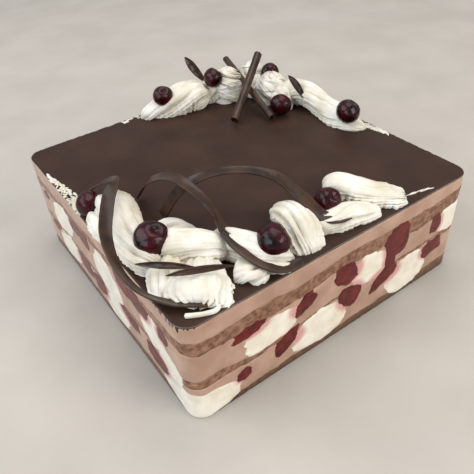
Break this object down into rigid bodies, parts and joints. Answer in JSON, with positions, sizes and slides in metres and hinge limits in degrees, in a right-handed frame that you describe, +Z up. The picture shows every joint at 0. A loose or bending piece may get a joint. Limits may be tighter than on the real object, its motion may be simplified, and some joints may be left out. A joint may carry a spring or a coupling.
{
  "type": "layer cake",
  "caption": "Square layer cake of sponge and mousse with cream and cherry fillings, dark glaze, clear film collar, piped cream, cherries, chocolate bands, rolls and flakes.",
  "frame": {"origin": "middle of the cake's flat underside", "axes": "+Z up, +X along the front side and +Y away from it, along the left and right sides; the toppings fill the corner at -X -Y and the one at +X +Y"},
  "size_m": [0.2524, 0.2488, 0.1234],
  "materials": {
    "glaze": "satin",
    "mousse": "soft satin",
    "sponge": "porous matt",
    "cream": "soft satin",
    "cream_filling": "soft satin",
    "cherry_filling": "moist",
    "cherry": "glossy",
    "chocolate": "satin",
    "film": "clear"
  },
  "bodies": {
    "root": {"band_left": "chocolate", "band_middle": "chocolate", "band_right": "chocolate", "cherry_back": "cherry", "cherry_back_high": "cherry", "cherry_back_left": "cherry", "cherry_back_low": "cherry", "cherry_back_right": "cherry", "cherry_filling_lower": "cherry_filling", "cherry_filling_upper": "cherry_filling", "cherry_left_edge": "cherry", "cherry_near_left": "cherry", "cherry_near_right": "cherry", "cherry_right": "cherry", "cream_filling_lower": "cream_filling", "cream_filling_upper": "cream_filling", "cream_strand": "cream", "film": "film", "flake_back_left": "chocolate", "flake_back_right": "chocolate", "flake_front_left": "chocolate", "flake_front_right": "chocolate", "glaze": "glaze", "mousse_lower": "mousse", "mousse_top": "mousse", "mousse_upper": "mousse", "piping_back": "cream", "piping_left": "cream", "piping_right": "cream", "roll_crossed": "chocolate", "roll_long": "chocolate", "sponge_base": "sponge", "sponge_middle": "sponge", "sponge_upper": "sponge"}
  },
  "joints": []
}
